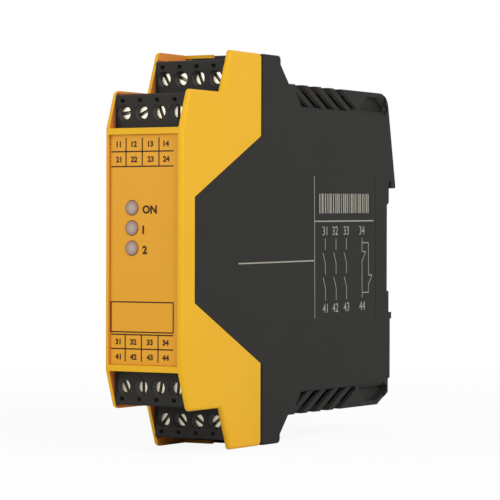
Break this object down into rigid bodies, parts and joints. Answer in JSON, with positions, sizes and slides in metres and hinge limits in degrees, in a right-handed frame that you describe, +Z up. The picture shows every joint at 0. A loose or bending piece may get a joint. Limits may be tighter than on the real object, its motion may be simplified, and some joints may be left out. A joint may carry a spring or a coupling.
{
  "type": "safety relay",
  "caption": "Narrow rail-mounted safety relay with a stepped yellow cover, black vented housing, plug-in screw terminals, status lenses and a sprung rail foot.",
  "frame": {"origin": "centre of the rail seat: on the plane that rests on the rail, at the rail's centre line and the middle of the width", "axes": "+Y points from the module into the rail, so the front faces -Y; +Z is up with the rail hook above; X runs along the rail"},
  "size_m": [0.0226, 0.1113, 0.0992],
  "materials": {
    "yellow_cover": "fine moulded texture, golden yellow polyamide",
    "black_housing": "fine spark-eroded texture, black polyamide",
    "label_film": "printed matt film",
    "clear_lens": "clear polycarbonate",
    "latch_plastic": "black polyamide",
    "spring_steel": "drawn spring wire",
    "plug_plastic": "black polyamide",
    "tinned_contact": "tin plated bronze",
    "nickel_screw": "nickel plated steel",
    "zinc_cage": "zinc plated steel",
    "header_pin": "tin plated brass",
    "board_laminate": "green solder mask on glass laminate",
    "relay_case": "moulded relay case",
    "transformer_core": "ferrite",
    "capacitor_sleeve": "shrunk sleeve",
    "chip_epoxy": "moulded epoxy",
    "led_epoxy": "clear epoxy"
  },
  "bodies": {
    "housing": {"front_cover": "yellow_cover", "rear_housing": "black_housing", "front_label": "label_film", "light_guide": "clear_lens", "header_pins": "header_pin", "main_board": "board_laminate", "relay_a": "relay_case", "relay_b": "relay_case", "supply_transformer": "transformer_core", "capacitors": "capacitor_sleeve", "control_chips": "chip_epoxy", "status_leds": "led_epoxy", "header_top_front": "plug_plastic", "header_top_rear": "plug_plastic", "header_bottom_front": "plug_plastic", "header_bottom_rear": "plug_plastic"},
    "latch": {"rail_latch": "latch_plastic", "latch_spring": "spring_steel"},
    "plug_top_front": {"plug_body_top_front": "plug_plastic", "plug_contacts_top_front": "tinned_contact"},
    "screw_top_front_1": {"screw_top_front_1": "nickel_screw"},
    "cage_top_front_1": {"cage_top_front_1": "zinc_cage"},
    "screw_top_front_2": {"screw_top_front_2": "nickel_screw"},
    "cage_top_front_2": {"cage_top_front_2": "zinc_cage"},
    "screw_top_front_3": {"screw_top_front_3": "nickel_screw"},
    "cage_top_front_3": {"cage_top_front_3": "zinc_cage"},
    "screw_top_front_4": {"screw_top_front_4": "nickel_screw"},
    "cage_top_front_4": {"cage_top_front_4": "zinc_cage"},
    "plug_top_rear": {"plug_body_top_rear": "plug_plastic", "plug_contacts_top_rear": "tinned_contact"},
    "screw_top_rear_1": {"screw_top_rear_1": "nickel_screw"},
    "cage_top_rear_1": {"cage_top_rear_1": "zinc_cage"},
    "screw_top_rear_2": {"screw_top_rear_2": "nickel_screw"},
    "cage_top_rear_2": {"cage_top_rear_2": "zinc_cage"},
    "screw_top_rear_3": {"screw_top_rear_3": "nickel_screw"},
    "cage_top_rear_3": {"cage_top_rear_3": "zinc_cage"},
    "screw_top_rear_4": {"screw_top_rear_4": "nickel_screw"},
    "cage_top_rear_4": {"cage_top_rear_4": "zinc_cage"},
    "plug_bottom_front": {"plug_body_bottom_front": "plug_plastic", "plug_contacts_bottom_front": "tinned_contact"},
    "screw_bottom_front_1": {"screw_bottom_front_1": "nickel_screw"},
    "cage_bottom_front_1": {"cage_bottom_front_1": "zinc_cage"},
    "screw_bottom_front_2": {"screw_bottom_front_2": "nickel_screw"},
    "cage_bottom_front_2": {"cage_bottom_front_2": "zinc_cage"},
    "screw_bottom_front_3": {"screw_bottom_front_3": "nickel_screw"},
    "cage_bottom_front_3": {"cage_bottom_front_3": "zinc_cage"},
    "screw_bottom_front_4": {"screw_bottom_front_4": "nickel_screw"},
    "cage_bottom_front_4": {"cage_bottom_front_4": "zinc_cage"},
    "plug_bottom_rear": {"plug_body_bottom_rear": "plug_plastic", "plug_contacts_bottom_rear": "tinned_contact"},
    "screw_bottom_rear_1": {"screw_bottom_rear_1": "nickel_screw"},
    "cage_bottom_rear_1": {"cage_bottom_rear_1": "zinc_cage"},
    "screw_bottom_rear_2": {"screw_bottom_rear_2": "nickel_screw"},
    "cage_bottom_rear_2": {"cage_bottom_rear_2": "zinc_cage"},
    "screw_bottom_rear_3": {"screw_bottom_rear_3": "nickel_screw"},
    "cage_bottom_rear_3": {"cage_bottom_rear_3": "zinc_cage"},
    "screw_bottom_rear_4": {"screw_bottom_rear_4": "nickel_screw"},
    "cage_bottom_rear_4": {"cage_bottom_rear_4": "zinc_cage"}
  },
  "joints": [
    {"name": "latch_slide", "type": "slide", "parent": "housing", "child": "latch", "axis": [0, 0, -1], "range_m": [0, 0.0035], "stiffness_N_per_m": 1500, "springref_m": -0.002, "deforming": ["latch_spring"]},
    {"name": "plug_top_front_pull", "type": "slide", "parent": "housing", "child": "plug_top_front", "axis": [0, -1, 0], "range_m": [0, 0.0168]},
    {"name": "screw_top_front_1_turn", "type": "hinge", "parent": "plug_top_front", "child": "screw_top_front_1", "pos_m": [-0.0075, -0.10445, 0.03345], "axis": [0, 1, 0], "range_deg": [0, 1800]},
    {"name": "cage_top_front_1_rise", "type": "slide", "parent": "plug_top_front", "child": "cage_top_front_1", "axis": [0, -1, 0], "range_m": [0, 0.00224]},
    {"name": "screw_top_front_2_turn", "type": "hinge", "parent": "plug_top_front", "child": "screw_top_front_2", "pos_m": [-0.0025, -0.10445, 0.03345], "axis": [0, 1, 0], "range_deg": [0, 1800]},
    {"name": "cage_top_front_2_rise", "type": "slide", "parent": "plug_top_front", "child": "cage_top_front_2", "axis": [0, -1, 0], "range_m": [0, 0.00224]},
    {"name": "screw_top_front_3_turn", "type": "hinge", "parent": "plug_top_front", "child": "screw_top_front_3", "pos_m": [0.0025, -0.10445, 0.03345], "axis": [0, 1, 0], "range_deg": [0, 1800]},
    {"name": "cage_top_front_3_rise", "type": "slide", "parent": "plug_top_front", "child": "cage_top_front_3", "axis": [0, -1, 0], "range_m": [0, 0.00224]},
    {"name": "screw_top_front_4_turn", "type": "hinge", "parent": "plug_top_front", "child": "screw_top_front_4", "pos_m": [0.0075, -0.10445, 0.03345], "axis": [0, 1, 0], "range_deg": [0, 1800]},
    {"name": "cage_top_front_4_rise", "type": "slide", "parent": "plug_top_front", "child": "cage_top_front_4", "axis": [0, -1, 0], "range_m": [0, 0.00224]},
    {"name": "plug_top_rear_pull", "type": "slide", "parent": "housing", "child": "plug_top_rear", "axis": [0, -1, 0], "range_m": [0, 0.0168]},
    {"name": "screw_top_rear_1_turn", "type": "hinge", "parent": "plug_top_rear", "child": "screw_top_rear_1", "pos_m": [-0.0075, -0.08635, 0.04265], "axis": [0, 1, 0], "range_deg": [0, 1800]},
    {"name": "cage_top_rear_1_rise", "type": "slide", "parent": "plug_top_rear", "child": "cage_top_rear_1", "axis": [0, -1, 0], "range_m": [0, 0.00224]},
    {"name": "screw_top_rear_2_turn", "type": "hinge", "parent": "plug_top_rear", "child": "screw_top_rear_2", "pos_m": [-0.0025, -0.08635, 0.04265], "axis": [0, 1, 0], "range_deg": [0, 1800]},
    {"name": "cage_top_rear_2_rise", "type": "slide", "parent": "plug_top_rear", "child": "cage_top_rear_2", "axis": [0, -1, 0], "range_m": [0, 0.00224]},
    {"name": "screw_top_rear_3_turn", "type": "hinge", "parent": "plug_top_rear", "child": "screw_top_rear_3", "pos_m": [0.0025, -0.08635, 0.04265], "axis": [0, 1, 0], "range_deg": [0, 1800]},
    {"name": "cage_top_rear_3_rise", "type": "slide", "parent": "plug_top_rear", "child": "cage_top_rear_3", "axis": [0, -1, 0], "range_m": [0, 0.00224]},
    {"name": "screw_top_rear_4_turn", "type": "hinge", "parent": "plug_top_rear", "child": "screw_top_rear_4", "pos_m": [0.0075, -0.08635, 0.04265], "axis": [0, 1, 0], "range_deg": [0, 1800]},
    {"name": "cage_top_rear_4_rise", "type": "slide", "parent": "plug_top_rear", "child": "cage_top_rear_4", "axis": [0, -1, 0], "range_m": [0, 0.00224]},
    {"name": "plug_bottom_front_pull", "type": "slide", "parent": "housing", "child": "plug_bottom_front", "axis": [0, -1, 0], "range_m": [0, 0.0168]},
    {"name": "screw_bottom_front_1_turn", "type": "hinge", "parent": "plug_bottom_front", "child": "screw_bottom_front_1", "pos_m": [-0.0075, -0.10445, -0.03345], "axis": [0, 1, 0], "range_deg": [0, 1800]},
    {"name": "cage_bottom_front_1_rise", "type": "slide", "parent": "plug_bottom_front", "child": "cage_bottom_front_1", "axis": [0, -1, 0], "range_m": [0, 0.00224]},
    {"name": "screw_bottom_front_2_turn", "type": "hinge", "parent": "plug_bottom_front", "child": "screw_bottom_front_2", "pos_m": [-0.0025, -0.10445, -0.03345], "axis": [0, 1, 0], "range_deg": [0, 1800]},
    {"name": "cage_bottom_front_2_rise", "type": "slide", "parent": "plug_bottom_front", "child": "cage_bottom_front_2", "axis": [0, -1, 0], "range_m": [0, 0.00224]},
    {"name": "screw_bottom_front_3_turn", "type": "hinge", "parent": "plug_bottom_front", "child": "screw_bottom_front_3", "pos_m": [0.0025, -0.10445, -0.03345], "axis": [0, 1, 0], "range_deg": [0, 1800]},
    {"name": "cage_bottom_front_3_rise", "type": "slide", "parent": "plug_bottom_front", "child": "cage_bottom_front_3", "axis": [0, -1, 0], "range_m": [0, 0.00224]},
    {"name": "screw_bottom_front_4_turn", "type": "hinge", "parent": "plug_bottom_front", "child": "screw_bottom_front_4", "pos_m": [0.0075, -0.10445, -0.03345], "axis": [0, 1, 0], "range_deg": [0, 1800]},
    {"name": "cage_bottom_front_4_rise", "type": "slide", "parent": "plug_bottom_front", "child": "cage_bottom_front_4", "axis": [0, -1, 0], "range_m": [0, 0.00224]},
    {"name": "plug_bottom_rear_pull", "type": "slide", "parent": "housing", "child": "plug_bottom_rear", "axis": [0, -1, 0], "range_m": [0, 0.0168]},
    {"name": "screw_bottom_rear_1_turn", "type": "hinge", "parent": "plug_bottom_rear", "child": "screw_bottom_rear_1", "pos_m": [-0.0075, -0.08635, -0.04265], "axis": [0, 1, 0], "range_deg": [0, 1800]},
    {"name": "cage_bottom_rear_1_rise", "type": "slide", "parent": "plug_bottom_rear", "child": "cage_bottom_rear_1", "axis": [0, -1, 0], "range_m": [0, 0.00224]},
    {"name": "screw_bottom_rear_2_turn", "type": "hinge", "parent": "plug_bottom_rear", "child": "screw_bottom_rear_2", "pos_m": [-0.0025, -0.08635, -0.04265], "axis": [0, 1, 0], "range_deg": [0, 1800]},
    {"name": "cage_bottom_rear_2_rise", "type": "slide", "parent": "plug_bottom_rear", "child": "cage_bottom_rear_2", "axis": [0, -1, 0], "range_m": [0, 0.00224]},
    {"name": "screw_bottom_rear_3_turn", "type": "hinge", "parent": "plug_bottom_rear", "child": "screw_bottom_rear_3", "pos_m": [0.0025, -0.08635, -0.04265], "axis": [0, 1, 0], "range_deg": [0, 1800]},
    {"name": "cage_bottom_rear_3_rise", "type": "slide", "parent": "plug_bottom_rear", "child": "cage_bottom_rear_3", "axis": [0, -1, 0], "range_m": [0, 0.00224]},
    {"name": "screw_bottom_rear_4_turn", "type": "hinge", "parent": "plug_bottom_rear", "child": "screw_bottom_rear_4", "pos_m": [0.0075, -0.08635, -0.04265], "axis": [0, 1, 0], "range_deg": [0, 1800]},
    {"name": "cage_bottom_rear_4_rise", "type": "slide", "parent": "plug_bottom_rear", "child": "cage_bottom_rear_4", "axis": [0, -1, 0], "range_m": [0, 0.00224]}
  ],
  "couplings": [
    {"joint": "screw_top_front_1_turn", "follows": "cage_top_front_1_rise", "rad_per_m": 13963},
    {"joint": "screw_top_front_2_turn", "follows": "cage_top_front_2_rise", "rad_per_m": 13963},
    {"joint": "screw_top_front_3_turn", "follows": "cage_top_front_3_rise", "rad_per_m": 13963},
    {"joint": "screw_top_front_4_turn", "follows": "cage_top_front_4_rise", "rad_per_m": 13963},
    {"joint": "screw_top_rear_1_turn", "follows": "cage_top_rear_1_rise", "rad_per_m": 13963},
    {"joint": "screw_top_rear_2_turn", "follows": "cage_top_rear_2_rise", "rad_per_m": 13963},
    {"joint": "screw_top_rear_3_turn", "follows": "cage_top_rear_3_rise", "rad_per_m": 13963},
    {"joint": "screw_top_rear_4_turn", "follows": "cage_top_rear_4_rise", "rad_per_m": 13963},
    {"joint": "screw_bottom_front_1_turn", "follows": "cage_bottom_front_1_rise", "rad_per_m": 13963},
    {"joint": "screw_bottom_front_2_turn", "follows": "cage_bottom_front_2_rise", "rad_per_m": 13963},
    {"joint": "screw_bottom_front_3_turn", "follows": "cage_bottom_front_3_rise", "rad_per_m": 13963},
    {"joint": "screw_bottom_front_4_turn", "follows": "cage_bottom_front_4_rise", "rad_per_m": 13963},
    {"joint": "screw_bottom_rear_1_turn", "follows": "cage_bottom_rear_1_rise", "rad_per_m": 13963},
    {"joint": "screw_bottom_rear_2_turn", "follows": "cage_bottom_rear_2_rise", "rad_per_m": 13963},
    {"joint": "screw_bottom_rear_3_turn", "follows": "cage_bottom_rear_3_rise", "rad_per_m": 13963},
    {"joint": "screw_bottom_rear_4_turn", "follows": "cage_bottom_rear_4_rise", "rad_per_m": 13963}
  ]
}
